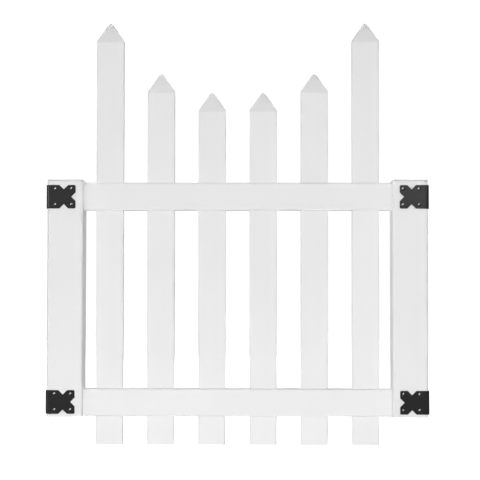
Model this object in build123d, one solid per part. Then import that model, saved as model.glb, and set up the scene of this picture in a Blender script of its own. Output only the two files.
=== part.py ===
from build123d import *
import math
import os

# Scalloped picket gate leaf, in millimetres.
# The origin is the centre of the lower hinge bracket's outer face.
# +X runs along the leaf away from its hinge side, +Y from front to back and +Z up.

# The leaf
leaf_width = 1092.0  # over the outer faces of the uprights
rail_spacing = 594.0  # between the centre lines of the rails
picket_count = 6
end_gap = 35.0  # from an upright to the picket beside it
picket_drop = 82.0  # from the bottom rail down to the feet of the pickets
scallop_clear = 255.5  # from the top rail up to the lowest point of the scallop
scallop_drop = 209.0  # from the outer tips down to the lowest point of the scallop

# Uprights, square hollow sections
upright_width = 101.6
upright_depth = 101.6
upright_wall = 3.5
upright_corner = 6.0

# Flat caps of the uprights
flat_cap_height = 6.5
flat_cap_overhang = 1.0
flat_cap_bevel_height = 4.5
flat_cap_bevel_width = 2.5
lug_length = 64.0
lug_depth = 18.0
lug_wall = 2.5
lug_clearance = 0.3

# Rails, hollow sections with a routed slot for each picket
rail_height = 80.0
rail_wall = 2.6
rail_corner = 4.0
rail_cheek = 5.1  # between a picket's slot and the inside of the rail's front wall
rail_clearance = 0.3  # round a rail where it enters an upright

# Pickets, flat hollow sections
picket_width = 79.0
picket_depth = 22.0
picket_wall = 2.0
picket_corner = 3.0
picket_clearance = 0.3  # round a picket in its slots

# Pointed caps of the pickets
cap_rim = 4.0
point_height = 57.0  # from the rim to where the two slopes would meet
tip_round = 8.0
peak_depth = 6.0  # front to back where the slopes would meet
cap_edge = 1.0  # bevel along the slopes and over the tip
cap_step = 0.3  # from the picket's faces in to the cap's
plug_depth = 22.0
plug_wall = 2.0
plug_clearance = 0.3

# Wrap brackets, bent from sheet steel
bracket_sheet = 3.0
bracket_reach = 84.0  # from the outer face to the free edge of a plate
bracket_height = 67.5
bracket_inset = 3.0  # from a rail's centre line to its brackets' centres, towards the other rail
bracket_ease = 1.5  # how much tighter the sheet bends than the upright's corner
bracket_corner = 4.0
notch_depth = 12.5
screw_hole = 5.0
screw_inset = 27.0  # from the outer face to the first column of screws
screw_margin = 11.0  # from the free edges to the nearest screws

# Sizes that follow from those above
rail_depth = picket_depth + 2 * (picket_clearance + rail_cheek + rail_wall)
leaf_left = bracket_sheet
leaf_middle = leaf_left + leaf_width / 2
bottom_rail_level = -bracket_inset
top_rail_level = bottom_rail_level + rail_spacing
top_bracket_level = top_rail_level - bracket_inset
leaf_bottom = bottom_rail_level - rail_height / 2
leaf_top = top_rail_level + rail_height / 2
picket_foot = leaf_bottom - picket_drop
half_span = leaf_width / 2 - upright_width - end_gap - picket_width / 2
picket_offsets = [half_span * (2 * i / (picket_count - 1) - 1) for i in range(picket_count)]
scallop_radius = (half_span**2 + scallop_drop**2) / (2 * scallop_drop)
half_angle = math.atan2(picket_width / 2 - cap_step, point_height)
rounded_away = tip_round * (1 / math.sin(half_angle) - 1)


def cap_seat(offset):
    # height of a picket's top end, so that the tip of its cap lies on the scallop's arc
    arc = scallop_radius - math.sqrt(scallop_radius**2 - offset**2)
    tip = leaf_top + scallop_clear + arc
    return tip - (point_height - rounded_away) - cap_rim


def tube_section(width, depth, corner, wall):
    # rectangular tube with rounded outer corners, drawn in the sketch that is open
    RectangleRounded(width, depth, corner)
    Rectangle(width - 2 * wall, depth - 2 * wall, mode=Mode.SUBTRACT)


def facing_front(x, z):
    # drawing plane with X to the right and Z up, seen from the front
    return Plane((x, 0, z), x_dir=(1, 0, 0), z_dir=(0, -1, 0))


def facing_end(x, z):
    # drawing plane with Y to the right and Z up, across the leaf
    return Plane((x, 0, z), x_dir=(0, 1, 0), z_dir=(1, 0, 0))


def upright():
    middle = leaf_left + upright_width / 2
    with BuildPart() as tube:
        with BuildSketch(Plane((middle, 0, leaf_bottom))):
            tube_section(upright_width, upright_depth, upright_corner, upright_wall)
        extrude(amount=leaf_top - leaf_bottom)
        # the inner wall is notched at both ends of the tube to let the rails in
        with BuildSketch(facing_end(middle, 0)) as notches:
            with Locations((0, bottom_rail_level), (0, top_rail_level)):
                Rectangle(rail_depth + 2 * rail_clearance, rail_height + 2 * rail_clearance)
            fillet(notches.vertices().filter_by_position(Axis.Y, leaf_bottom, leaf_top), rail_corner)
        extrude(amount=upright_width, mode=Mode.SUBTRACT)
    return tube.part


def upright_cap():
    middle = leaf_left + upright_width / 2
    lug_place = upright_depth / 2 - upright_wall - lug_clearance - lug_wall / 2
    with BuildPart() as cap:
        with BuildSketch(Plane((middle, 0, leaf_top))):
            RectangleRounded(
                upright_width + 2 * flat_cap_overhang,
                upright_depth + 2 * flat_cap_overhang,
                upright_corner + flat_cap_overhang,
            )
        extrude(amount=flat_cap_height)
        chamfer(cap.faces().sort_by(Axis.Z)[-1].edges(), flat_cap_bevel_height, flat_cap_bevel_width)
        # lugs reach down inside the front and back walls, clear of the rail's end
        with BuildSketch(Plane((middle, 0, leaf_top))):
            with Locations((0, -lug_place), (0, lug_place)):
                Rectangle(lug_length, lug_wall)
        extrude(amount=-lug_depth)
    return cap.part


def rail(level):
    start = leaf_left + upright_wall + rail_clearance
    with BuildPart() as body:
        with BuildSketch(facing_end(start, level)):
            tube_section(rail_depth, rail_height, rail_corner, rail_wall)
        extrude(amount=2 * (leaf_middle - start))
        with BuildSketch(Plane((leaf_middle, 0, level))):
            with Locations(*[(offset, 0) for offset in picket_offsets]):
                Rectangle(picket_width + 2 * picket_clearance, picket_depth + 2 * picket_clearance)
        extrude(amount=rail_height, both=True, mode=Mode.SUBTRACT)
    return body.part


def picket(offset):
    with BuildPart() as tube:
        with BuildSketch(Plane((leaf_middle + offset, 0, picket_foot))):
            tube_section(picket_width, picket_depth, picket_corner, picket_wall)
        extrude(amount=cap_seat(offset) - picket_foot)
    return tube.part


def picket_cap(offset):
    x = leaf_middle + offset
    seat = cap_seat(offset)
    peak = cap_rim + point_height
    side = picket_width / 2 - cap_step
    face = picket_depth / 2 - cap_step
    plug_gap = picket_wall + plug_clearance
    plug_bore = plug_gap + plug_wall
    with BuildPart() as cap:
        with BuildSketch(Plane((x, 0, seat))):
            RectangleRounded(2 * side, 2 * face, picket_corner - cap_step)
        extrude(amount=peak)
        # pointed outline with a rounded tip
        with BuildSketch(facing_front(x, seat)) as outline:
            Polygon((-side, 0), (side, 0), (side, cap_rim), (0, peak), (-side, cap_rim), align=None)
            fillet(outline.vertices().sort_by(Axis.Y)[-1], tip_round)
        extrude(amount=picket_depth, both=True, mode=Mode.INTERSECT)
        # front and back lean in towards the peak
        with BuildSketch(facing_end(x, seat)):
            Polygon(
                (-face, 0), (face, 0), (face, cap_rim),
                (peak_depth / 2, peak), (-peak_depth / 2, peak), (-face, cap_rim), align=None,
            )
        extrude(amount=picket_width, both=True, mode=Mode.INTERSECT)
        slopes = cap.edges().filter_by_position(Axis.Z, seat + cap_rim + point_height / 4, seat + peak)
        chamfer(slopes.filter_by(Axis.Y, reverse=True), cap_edge)
        # hollow plug that goes down inside the picket
        with BuildSketch(Plane((x, 0, seat))):
            Rectangle(picket_width - 2 * plug_gap, picket_depth - 2 * plug_gap)
            Rectangle(picket_width - 2 * plug_bore, picket_depth - 2 * plug_bore, mode=Mode.SUBTRACT)
        extrude(amount=-plug_depth)
    return cap.part


def bracket(level):
    # front plate, web and back plate, bent from one strip round the upright's outer side
    sheet_middle = upright_depth / 2 + bracket_sheet / 2
    bend = upright_corner - bracket_ease + bracket_sheet / 2
    screw_far = bracket_reach - screw_margin
    screw_middle = (screw_inset + screw_far) / 2
    with BuildPart() as wrap:
        with BuildSketch(Plane((0, 0, level - bracket_height / 2))):
            with BuildLine():
                FilletPolyline(
                    (bracket_reach, -sheet_middle),
                    (bracket_sheet / 2, -sheet_middle),
                    (bracket_sheet / 2, sheet_middle),
                    (bracket_reach, sheet_middle),
                    radius=bend,
                )
            trace(line_width=bracket_sheet)
        extrude(amount=bracket_height)
        # outline of both plates: rounded free corners, three square notches and four screw holes
        with BuildSketch(facing_front(0, level)) as outline:
            Rectangle(bracket_reach, bracket_height, align=(Align.MIN, Align.CENTER))
            fillet(outline.vertices().group_by(Axis.X)[-1], bracket_corner)
            notch_places = [
                (screw_middle, bracket_height / 2),
                (screw_middle, -bracket_height / 2),
                (bracket_reach, 0),
            ]
            notch_side = notch_depth * math.sqrt(2)
            with Locations(*notch_places):
                Rectangle(notch_side, notch_side, rotation=45, mode=Mode.SUBTRACT)
            with Locations((screw_middle, 0)):
                with GridLocations(screw_far - screw_inset, bracket_height - 2 * screw_margin, 2, 2):
                    Circle(screw_hole / 2, mode=Mode.SUBTRACT)
        extrude(amount=upright_depth, both=True, mode=Mode.INTERSECT)
    return wrap.part


def latch_side(piece):
    # the same piece on the other side of the leaf
    return mirror(piece, about=Plane.YZ.offset(leaf_middle))


pieces = {
    "upright_left": upright(),
    "upright_cap_left": upright_cap(),
    "bracket_bottom_left": bracket(0),
    "bracket_top_left": bracket(top_bracket_level),
    "bottom_rail": rail(bottom_rail_level),
    "top_rail": rail(top_rail_level),
}
for name in [name for name in pieces if name.endswith("left")]:
    pieces[name.replace("left", "right")] = latch_side(pieces[name])
for number, offset in enumerate(picket_offsets, 1):
    pieces[f"picket_{number}"] = picket(offset)
    pieces[f"picket_cap_{number}"] = picket_cap(offset)

os.makedirs("parts", exist_ok=True)
for name, piece in pieces.items():
    export_step(piece, f"parts/{name}.step")
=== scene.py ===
import bpy
import math
from mathutils import Matrix, Vector


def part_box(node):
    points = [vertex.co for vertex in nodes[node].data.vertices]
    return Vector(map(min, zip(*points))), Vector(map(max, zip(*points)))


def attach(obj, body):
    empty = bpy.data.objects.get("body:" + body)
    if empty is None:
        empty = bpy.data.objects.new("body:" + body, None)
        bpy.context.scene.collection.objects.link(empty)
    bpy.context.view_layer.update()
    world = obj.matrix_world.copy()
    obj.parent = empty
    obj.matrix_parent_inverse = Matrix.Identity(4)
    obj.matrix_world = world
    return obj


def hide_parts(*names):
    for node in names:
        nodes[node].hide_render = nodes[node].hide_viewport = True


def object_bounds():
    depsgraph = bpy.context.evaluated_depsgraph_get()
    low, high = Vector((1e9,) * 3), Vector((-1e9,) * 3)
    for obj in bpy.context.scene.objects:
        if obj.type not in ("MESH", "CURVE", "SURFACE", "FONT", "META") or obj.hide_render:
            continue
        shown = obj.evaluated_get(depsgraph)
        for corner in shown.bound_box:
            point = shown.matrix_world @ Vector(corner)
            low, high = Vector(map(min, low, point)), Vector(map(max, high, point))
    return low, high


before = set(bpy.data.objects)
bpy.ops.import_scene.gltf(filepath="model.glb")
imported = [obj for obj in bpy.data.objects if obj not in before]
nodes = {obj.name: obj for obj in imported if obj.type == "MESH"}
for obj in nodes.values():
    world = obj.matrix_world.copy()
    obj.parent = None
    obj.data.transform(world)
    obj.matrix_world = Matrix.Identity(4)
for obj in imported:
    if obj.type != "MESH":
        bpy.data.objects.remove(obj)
cadLow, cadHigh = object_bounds()
leafMiddle = (cadLow + cadHigh) / 2
print("frame loaded:", len(nodes), "nodes")


# Shader helpers

def linkNodes(tree, pairs):
    for fromSocket, toSocket in pairs:
        tree.links.new(fromSocket, toSocket)


def newGroup(name, inputs, outputs):
    group = bpy.data.node_groups.new(name, "ShaderNodeTree")
    for way, sockets in (("INPUT", inputs), ("OUTPUT", outputs)):
        for label, kind in sockets:
            group.interface.new_socket(name=label, in_out=way, socket_type=kind)
    return group, group.nodes.new("NodeGroupInput"), group.nodes.new("NodeGroupOutput")


def noiseNode(tree, detail, roughness):
    noise = tree.nodes.new("ShaderNodeTexNoise")
    noise.inputs["Detail"].default_value = detail
    noise.inputs["Roughness"].default_value = roughness
    return noise


# fine lines that the extrusion die draws along a section, and slow clouding of the vinyl
def makeDieLines():
    group, start, end = newGroup(
        "dieLines",
        [
            ("Vector", "NodeSocketVector"),
            ("Stretch", "NodeSocketVector"),
            ("Line Scale", "NodeSocketFloat"),
            ("Cloud Scale", "NodeSocketFloat"),
        ],
        [("Lines", "NodeSocketFloat"), ("Cloud", "NodeSocketFloat")],
    )
    stretched = group.nodes.new("ShaderNodeVectorMath")
    stretched.operation = "MULTIPLY"
    lines = noiseNode(group, detail=3, roughness=0.55)
    cloud = noiseNode(group, detail=2, roughness=0.5)
    linkNodes(group, [
        (start.outputs["Vector"], stretched.inputs[0]),
        (start.outputs["Stretch"], stretched.inputs[1]),
        (stretched.outputs[0], lines.inputs["Vector"]),
        (start.outputs["Line Scale"], lines.inputs["Scale"]),
        (start.outputs["Vector"], cloud.inputs["Vector"]),
        (start.outputs["Cloud Scale"], cloud.inputs["Scale"]),
        (lines.outputs["Fac"], end.inputs["Lines"]),
        (cloud.outputs["Fac"], end.inputs["Cloud"]),
    ])
    return group


# the rolling skin of a moulded or powder-coated surface, with fine specks in it
def makeOrangePeel():
    group, start, end = newGroup(
        "orangePeel",
        [
            ("Vector", "NodeSocketVector"),
            ("Peel Scale", "NodeSocketFloat"),
            ("Speck Scale", "NodeSocketFloat"),
        ],
        [("Peel", "NodeSocketFloat"), ("Specks", "NodeSocketFloat")],
    )
    peel = noiseNode(group, detail=1.5, roughness=0.45)
    specks = noiseNode(group, detail=2, roughness=0.6)
    linkNodes(group, [
        (start.outputs["Vector"], peel.inputs["Vector"]),
        (start.outputs["Peel Scale"], peel.inputs["Scale"]),
        (start.outputs["Vector"], specks.inputs["Vector"]),
        (start.outputs["Speck Scale"], specks.inputs["Scale"]),
        (peel.outputs["Fac"], end.inputs["Peel"]),
        (specks.outputs["Fac"], end.inputs["Specks"]),
    ])
    return group


dieLines = makeDieLines()
orangePeel = makeOrangePeel()


def newMaterial(name, group, specular):
    material = bpy.data.materials.new(name)
    material.use_nodes = True
    tree = material.node_tree
    shader = tree.nodes["Principled BSDF"]
    shader.inputs["Specular IOR Level"].default_value = specular
    coords = tree.nodes.new("ShaderNodeTexCoord")
    effect = tree.nodes.new("ShaderNodeGroup")
    effect.node_tree = group
    tree.links.new(coords.outputs["Object"], effect.inputs["Vector"])
    return material, tree, shader, effect


# base colour between two tones, by a mask
def toneBetween(tree, shader, mask, dark, light):
    mix = tree.nodes.new("ShaderNodeMix")
    mix.data_type = "RGBA"
    colourA, colourB = [socket for socket in mix.inputs if socket.type == "RGBA"]
    colourA.default_value = (*dark, 1)
    colourB.default_value = (*light, 1)
    result = [socket for socket in mix.outputs if socket.type == "RGBA"][0]
    linkNodes(tree, [
        (mask, mix.inputs["Factor"]),
        (result, shader.inputs["Base Color"]),
    ])


# roughness between two values, by a noise mask
noiseRange = (0.3, 0.7)  # where most of such a mask lies


def roughnessBetween(tree, shader, mask, low, high):
    spread = tree.nodes.new("ShaderNodeMapRange")
    spread.inputs["From Min"].default_value = noiseRange[0]
    spread.inputs["From Max"].default_value = noiseRange[1]
    spread.inputs["To Min"].default_value = low
    spread.inputs["To Max"].default_value = high
    linkNodes(tree, [
        (mask, spread.inputs["Value"]),
        (spread.outputs["Result"], shader.inputs["Roughness"]),
    ])


def bumpFrom(tree, shader, height, strength, distance):
    bump = tree.nodes.new("ShaderNodeBump")
    bump.inputs["Strength"].default_value = strength
    bump.inputs["Distance"].default_value = distance
    linkNodes(tree, [
        (height, bump.inputs["Height"]),
        (bump.outputs["Normal"], shader.inputs["Normal"]),
    ])


# White vinyl sections

vinyl = {
    "dark": (0.80, 0.80, 0.80),
    "light": (0.84, 0.84, 0.84),
    "roughness": (0.34, 0.46),
    "specular": 0.45,
    "lineScale": 520.0,
    "cloudScale": 4.0,
    "along": 0.012,  # how much of the line scale runs along the section
    "lineHeight": 0.00006,
    "lineStrength": 0.25,
}


def makeVinyl(name, stretch):
    material, tree, shader, effect = newMaterial(name, dieLines, vinyl["specular"])
    effect.inputs["Stretch"].default_value = stretch
    effect.inputs["Line Scale"].default_value = vinyl["lineScale"]
    effect.inputs["Cloud Scale"].default_value = vinyl["cloudScale"]
    toneBetween(tree, shader, effect.outputs["Cloud"], vinyl["dark"], vinyl["light"])
    roughnessBetween(tree, shader, effect.outputs["Lines"], *vinyl["roughness"])
    bumpFrom(tree, shader, effect.outputs["Lines"], vinyl["lineStrength"], vinyl["lineHeight"])
    return material


uprightVinyl = makeVinyl("uprightVinyl", (1, 1, vinyl["along"]))
railVinyl = makeVinyl("railVinyl", (vinyl["along"], 1, 1))

# Moulded caps

moulded = {
    "dark": (0.76, 0.76, 0.76),
    "light": (0.80, 0.80, 0.80),
    "roughness": (0.54, 0.64),
    "metallic": 0.0,
    "specular": 0.35,
    "peelScale": 220.0,
    "speckScale": 1800.0,
    "peelHeight": 0.00008,
    "peelStrength": 0.2,
}

# Black powder coat

coat = {
    "dark": (0.011, 0.011, 0.011),
    "light": (0.017, 0.017, 0.017),
    "roughness": (0.26, 0.36),
    "metallic": 0.0,
    "specular": 0.4,
    "peelScale": 650.0,
    "speckScale": 2600.0,
    "peelHeight": 0.0001,
    "peelStrength": 0.35,
}

# Black screws

screwFinish = {
    "dark": (0.12, 0.12, 0.12),
    "light": (0.17, 0.17, 0.17),
    "roughness": (0.18, 0.26),
    "metallic": 1.0,
    "specular": 0.5,
    "peelScale": 900.0,
    "speckScale": 3000.0,
    "peelHeight": 0.00004,
    "peelStrength": 0.2,
}


def makePeeled(name, finish):
    material, tree, shader, effect = newMaterial(name, orangePeel, finish["specular"])
    effect.inputs["Peel Scale"].default_value = finish["peelScale"]
    effect.inputs["Speck Scale"].default_value = finish["speckScale"]
    shader.inputs["Metallic"].default_value = finish["metallic"]
    toneBetween(tree, shader, effect.outputs["Specks"], finish["dark"], finish["light"])
    roughnessBetween(tree, shader, effect.outputs["Specks"], *finish["roughness"])
    bumpFrom(tree, shader, effect.outputs["Peel"], finish["peelStrength"], finish["peelHeight"])
    return material


capPlastic = makePeeled("capPlastic", moulded)
blackCoat = makePeeled("blackCoat", coat)
blackScrew = makePeeled("blackScrew", screwFinish)

for name, node in nodes.items():
    if name.startswith("bracket"):
        finish = blackCoat
    elif "cap" in name:
        finish = capPlastic
    elif name.endswith("rail"):
        finish = railVinyl
    else:
        finish = uprightVinyl
    node.data.materials.clear()
    node.data.materials.append(finish)
print("finishes set on", len(nodes), "nodes")


# Modelling helpers

levelNormal = 0.9  # least part along Z of the normal of a face that looks up or down


def editMode(on):
    bpy.ops.object.mode_set(mode="EDIT" if on else "OBJECT")


def startSelection(kind):
    editMode(True)
    bpy.ops.mesh.select_all(action="DESELECT")
    bpy.ops.mesh.select_mode(type=kind)
    editMode(False)


def selectFaces(piece, wanted):
    startSelection("FACE")
    for face in piece.data.polygons:
        face.select = wanted(face)
    editMode(True)


def selectEdges(piece, wanted):
    startSelection("EDGE")
    for edge in piece.data.edges:
        edge.select = wanted(*(piece.data.vertices[corner].co for corner in edge.vertices))
    editMode(True)


def drawOut(x, y, z):
    bpy.ops.mesh.extrude_region_move(TRANSFORM_OT_translate={"value": (x, y, z)})


def roundEdges(width, steps):
    bpy.ops.mesh.bevel(offset=width, segments=steps, affect="EDGES", clamp_overlap=False)


def addBlock(size, place):
    bpy.ops.object.select_all(action="DESELECT")
    bpy.ops.mesh.primitive_cube_add(size=1, location=place)
    block = bpy.context.object
    block.scale = size
    bpy.ops.object.transform_apply(location=True, rotation=True, scale=True)
    return block


def placeCopy(pattern, name, move):
    piece = pattern.copy()
    piece.data = pattern.data.copy()
    piece.name = name
    bpy.context.scene.collection.objects.link(piece)
    piece.data.transform(move)
    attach(piece, "root")
    return piece


# Screws of the brackets

screw = {
    "radius": 0.0048,
    "rim": 0.0008,  # straight edge under the dome
    "domeRadius": 0.0110,
    "sides": 32,
    "rings": 7,
    "crown": 0.0006,  # flat left in the middle of the dome
    "shank": 0.0021,
    "crossArm": 0.0016,
    "crossWidth": 0.0007,
    "crossDepth": 0.0011,
    "smooth": 35.0,
    "inset": 0.027,  # from the bracket's outer face to the first column of holes
    "margin": 0.011,  # from the plate's free edges to the nearest holes
    "plate": 0.003,
    "turns": (18.0, 63.0, 35.0, 80.0),
}


def addCross(piece, top):
    # cutter for the driver's cross: a small block with its four sides drawn out into arms
    half = screw["crossWidth"] / 2
    near = half / 10  # how far off a side's middle may lie
    reach = screw["crossArm"] - half
    cutter = addBlock((2 * half, 2 * half, 2 * screw["crossDepth"]), (0, 0, top))
    for x, y in ((1, 0), (-1, 0), (0, 1), (0, -1)):
        side = Vector((x, y)) * half
        selectFaces(cutter, lambda face: (face.center.xy - side).length < near)
        drawOut(x * reach, y * reach, 0)
        editMode(False)
    cut = piece.modifiers.new("cross", "BOOLEAN")
    cut.operation = "DIFFERENCE"
    cut.solver = "EXACT"
    cut.object = cutter
    bpy.ops.object.select_all(action="DESELECT")
    bpy.context.view_layer.objects.active = piece
    piece.select_set(True)
    bpy.ops.object.modifier_apply(modifier="cross")
    bpy.data.objects.remove(cutter)


def makeScrew():
    # head up along Z, with its seat at the origin
    bpy.ops.object.select_all(action="DESELECT")
    bpy.ops.mesh.primitive_cylinder_add(
        vertices=screw["sides"], radius=screw["radius"], depth=screw["rim"], location=(0, 0, screw["rim"] / 2)
    )
    piece = bpy.context.object
    bpy.ops.object.transform_apply(location=True, rotation=True, scale=True)
    # dome: rings drawn in and up from the rim along a round profile
    selectFaces(piece, lambda face: face.normal.z > levelNormal)
    ball = screw["domeRadius"]
    wide, narrow = (math.asin(screw[part] / ball) for part in ("radius", "crown"))
    slopes = [wide + (narrow - wide) * i / screw["rings"] for i in range(screw["rings"] + 1)]
    for before, after in zip(slopes, slopes[1:]):
        bpy.ops.mesh.inset(
            thickness=ball * (math.sin(before) - math.sin(after)),
            depth=ball * (math.cos(after) - math.cos(before)),
        )
    # shank: drawn down from the seat through the plate
    selectFaces(piece, lambda face: face.normal.z < -levelNormal)
    bpy.ops.mesh.inset(thickness=screw["radius"] - screw["shank"])
    drawOut(0, 0, -screw["plate"])
    editMode(False)
    addCross(piece, screw["rim"] + ball * (math.cos(narrow) - math.cos(wide)))
    bpy.ops.object.shade_smooth_by_angle(angle=math.radians(screw["smooth"]))
    piece.data.materials.append(blackScrew)
    return piece


def placeScrews():
    pattern = makeScrew()
    count = 0
    for bracket in sorted(name for name in nodes if name.startswith("bracket")):
        low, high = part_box(bracket)
        outer, inward = (low.x, 1) if bracket.endswith("left") else (high.x, -1)
        reach = high.x - low.x
        columns = [outer + inward * screw["inset"], outer + inward * (reach - screw["margin"])]
        rows = [low.z + screw["margin"], high.z - screw["margin"]]
        places = [(x, z) for z in rows for x in columns]
        for face, seat, lean in (("front", low.y, 90), ("back", high.y, -90)):
            for number, (x, z) in enumerate(places, 1):
                angle = screw["turns"][(number + count) % len(screw["turns"])]
                turn = Matrix.Rotation(math.radians(angle), 4, "Z")
                tip = Matrix.Rotation(math.radians(lean), 4, "X")
                name = bracket.replace("bracket", "screw") + f"_{face}_{number}"
                piece = placeCopy(pattern, name, Matrix.Translation((x, seat, z)) @ tip @ turn)
                count += 1
    bpy.data.objects.remove(pattern)
    return count


print("screws placed:", placeScrews())


# Pointed caps of the pickets

cap = {
    "rim": 0.004,
    "point": 0.057,  # from the rim up to where the two slopes would meet
    "peakHalf": 0.003,  # half the depth where the slopes would meet
    "tipCut": 0.0127,  # length of each slope that the rounded tip takes away
    "tipSteps": 10,
    "edge": 0.0026,  # rounding along the slopes and corners
    "edgeSteps": 4,
    "plugStep": 0.002,  # from the cap's sides in to its plug
    "plugDepth": 0.022,
    "plugWall": 0.002,
    "smooth": 30.0,
}


def makeCap():
    # point up along Z, with the seat on the picket's end at the origin
    low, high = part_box("picket_cap_1")
    wide, deep = (high.x - low.x) / 2, (high.y - low.y) / 2
    rim, point = cap["rim"], cap["point"]
    peak = rim + point
    lean = deep - cap["peakHalf"]
    near = cap["edge"] / 100  # how far off its place a corner may lie

    def onFace(corner):
        depth = deep - max(corner.z - rim, 0) * lean / point
        return abs(abs(corner.y) - depth) < near

    def isOutline(a, b):
        # up the corners, along the slopes and over the tip, but not along the seat or the rim
        level = abs(a.z - b.z) < near and a.z < rim + near
        return onFace(a) and onFace(b) and a.y * b.y > 0 and not level

    piece = addBlock((2 * wide, 2 * deep, 2 * peak), (0, 0, peak))
    # two slopes, then a front and a back that lean in
    cuts = [((side * wide, 0, rim), (side * point, 0, wide)) for side in (-1, 1)]
    cuts += [((0, side * deep, rim), (0, side * point, lean)) for side in (-1, 1)]
    editMode(True)
    for place, normal in cuts:
        bpy.ops.mesh.select_all(action="SELECT")
        bpy.ops.mesh.bisect(plane_co=place, plane_no=normal, use_fill=True, clear_outer=True)
    selectEdges(piece, lambda a, b: min(a.z, b.z) > peak - near)
    roundEdges(cap["tipCut"], cap["tipSteps"])
    selectEdges(piece, isOutline)
    roundEdges(cap["edge"], cap["edgeSteps"])
    # hollow plug, drawn down from the seat and then back up inside
    selectFaces(piece, lambda face: face.normal.z < -levelNormal)
    bpy.ops.mesh.inset(thickness=cap["plugStep"])
    drawOut(0, 0, -cap["plugDepth"])
    drawOut(0, 0, 0)
    bore = [1 - cap["plugWall"] / (half - cap["plugStep"]) for half in (wide, deep)]
    bpy.ops.transform.resize(value=(*bore, 1), center_override=(0, 0, -cap["plugDepth"]))
    drawOut(0, 0, cap["plugDepth"])
    editMode(False)
    bpy.ops.object.shade_smooth_by_angle(angle=math.radians(cap["smooth"]))
    piece.data.materials.append(capPlastic)
    return piece


def placeCaps():
    pattern = makeCap()
    names = sorted(name for name in nodes if name.startswith("picket_cap"))
    for name in names:
        low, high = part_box(name)
        seat = ((low.x + high.x) / 2, (low.y + high.y) / 2, low.z + cap["plugDepth"])
        piece = placeCopy(pattern, name.replace("picket_cap", "pointed_cap"), Matrix.Translation(seat))
        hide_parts(name)
    bpy.data.objects.remove(pattern)
    return len(names)


print("caps placed:", placeCaps())


# Floor

floor = {
    "gap": 0.06,  # from the feet of the pickets down to the floor
    "radius": 14.0,
    "sides": 96,
    "tone": (0.7, 0.7, 0.7),
    "roughness": 0.9,
    "specular": 0.0,
    "glow": 0.9,  # lifts the floor to the backdrop's white where the camera looks at it
}


def makeFloor():
    bpy.ops.object.select_all(action="DESELECT")
    bpy.ops.mesh.primitive_circle_add(
        vertices=floor["sides"], radius=floor["radius"], fill_type="NGON",
        location=(leafMiddle.x, leafMiddle.y, cadLow.z - floor["gap"]),
    )
    piece = bpy.context.object
    piece.name = "floor"
    material = bpy.data.materials.new("paleFloor")
    material.use_nodes = True
    tree = material.node_tree
    shader = tree.nodes["Principled BSDF"]
    shader.inputs["Base Color"].default_value = (*floor["tone"], 1)
    shader.inputs["Roughness"].default_value = floor["roughness"]
    shader.inputs["Specular IOR Level"].default_value = floor["specular"]
    seen = tree.nodes.new("ShaderNodeLightPath")
    glow = tree.nodes.new("ShaderNodeEmission")
    glow.inputs["Strength"].default_value = floor["glow"]
    lifted = tree.nodes.new("ShaderNodeAddShader")
    mix = tree.nodes.new("ShaderNodeMixShader")
    out = tree.nodes["Material Output"]
    linkNodes(tree, [
        (shader.outputs[0], lifted.inputs[0]),
        (glow.outputs[0], lifted.inputs[1]),
        (seen.outputs["Is Camera Ray"], mix.inputs[0]),
        (shader.outputs[0], mix.inputs[1]),
        (lifted.outputs[0], mix.inputs[2]),
        (mix.outputs[0], out.inputs["Surface"]),
    ])
    piece.data.materials.append(material)
    piece.visible_glossy = False  # keeps the floor out of the screws' lower halves


makeFloor()

# Light

light = {
    "room": 0.16,  # what lights the gate from all round
    "backdrop": 1.05,  # what the camera sees behind it
    # white walls round the gate: direction from its middle and brightness
    "tentHalf": 5.5,
    "tentWalls": {
        "frontWall": ((0, -1, 0), 1.28),
        "backWall": ((0, 1, 0), 0.2),
        "backRoofWall": ((0, 1, 1), 0.8),
        "rightWall": ((1, 0, 0), 0.16),
    },
    "boxes": {
        "keyBox": {"place": (-8.0, -16.9, 6.9), "size": (20.0, 2.5), "roll": 45.0, "watts": 3400.0},
        "patchBox": {"place": (1.55, -4.6, 1.3), "size": (0.5, 0.5), "roll": 0.0, "watts": 12.0},
        "bounceBox": {"place": (0.42, -1.8, -1.3), "size": (1.6, 1.6), "roll": 0.0, "watts": 25.0},
        "sideBox": {"place": (-7.3, 8.3, 0.9), "size": (2.0, 2.0), "roll": 0.0, "watts": 520.0},
        "backKeyBox": {"place": (9.1, 16.9, 8.4), "size": (8.0, 2.5), "roll": 45.0, "watts": 680.0},
    },
    "shadowless": ("keyBox", "bounceBox", "sideBox", "backKeyBox"),
    "matte": ("bounceBox", "sideBox"),  # lights that give no highlights, as the walls give none
    "glossOnly": ("keyBox", "patchBox", "backKeyBox"),  # lights that give nothing but highlights
}


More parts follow.
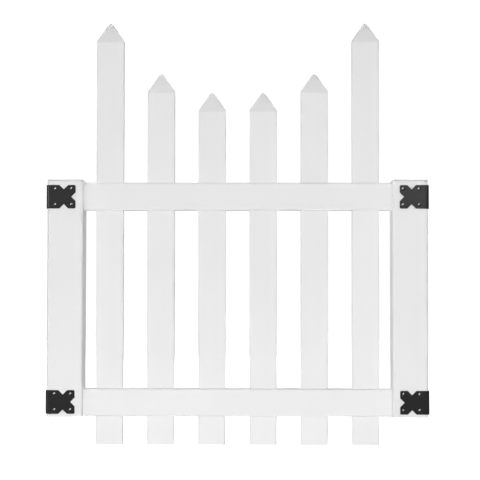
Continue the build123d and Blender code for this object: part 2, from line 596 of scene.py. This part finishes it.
def makeWorld():
    world = bpy.data.worlds.new("studio")
    world.use_nodes = True
    bpy.context.scene.world = world
    tree = world.node_tree
    tree.nodes.clear()
    seen = tree.nodes.new("ShaderNodeLightPath")
    mix = tree.nodes.new("ShaderNodeMixShader")
    out = tree.nodes.new("ShaderNodeOutputWorld")
    for socket, strength in ((1, light["room"]), (2, light["backdrop"])):
        glow = tree.nodes.new("ShaderNodeBackground")
        glow.inputs["Color"].default_value = (1, 1, 1, 1)
        glow.inputs["Strength"].default_value = strength
        tree.links.new(glow.outputs[0], mix.inputs[socket])
    linkNodes(tree, [
        (seen.outputs["Is Camera Ray"], mix.inputs[0]),
        (mix.outputs[0], out.inputs["Surface"]),
    ])


def addLamp(name, place, size, watts, shadows, highlights):
    lamp = bpy.data.lights.new(name, "AREA")
    lamp.shape = "RECTANGLE"
    lamp.size, lamp.size_y = size
    lamp.energy = watts
    lamp.use_shadow = shadows
    lamp.cycles.use_multiple_importance_sampling = highlights
    box = bpy.data.objects.new(name, lamp)
    box.location = place
    box.rotation_euler = (leafMiddle - Vector(place)).to_track_quat("-Z", "Y").to_euler()
    box.visible_camera = False
    box.visible_glossy = highlights
    bpy.context.scene.collection.objects.link(box)
    return box


def makeTent():
    side = 2 * light["tentHalf"]
    for name, (direction, brightness) in light["tentWalls"].items():
        place = leafMiddle + Vector(direction).normalized() * light["tentHalf"]
        watts = math.pi * side**2 * brightness
        addLamp(name, place, (side, side), watts, shadows=True, highlights=False)


def makeBoxes():
    for name, box in light["boxes"].items():
        shadows = name not in light["shadowless"]
        highlights = name not in light["matte"]
        lamp = addLamp(name, box["place"], box["size"], box["watts"], shadows, highlights)
        lamp.rotation_euler.rotate_axis("Z", math.radians(box["roll"]))
        lamp.visible_diffuse = name not in light["glossOnly"]


makeWorld()
makeTent()
makeBoxes()
print("floor and light set")


# Camera

camera = {
    "place": (0.6177, -4.4431, 0.3067),
    "pitch": 2.050,  # degrees up
    "yaw": 0.795,  # degrees to the left
    "roll": 0.076,
    "focalPixels": 1533.2,
    "imagePixels": 480,
    "sensor": 36.0,
    "clipEnd": 100.0,
}


def makeCamera():
    data = bpy.data.cameras.new("camera")
    data.sensor_width = camera["sensor"]
    data.lens = camera["focalPixels"] / camera["imagePixels"] * camera["sensor"]
    data.clip_end = camera["clipEnd"]
    eye = bpy.data.objects.new("camera", data)
    eye.location = camera["place"]
    eye.rotation_euler = [math.radians(a) for a in (90 + camera["pitch"], -camera["roll"], camera["yaw"])]
    bpy.context.scene.collection.objects.link(eye)
    bpy.context.scene.camera = eye


makeCamera()
bpy.context.scene.view_settings.view_transform = "Standard"
print("camera set")
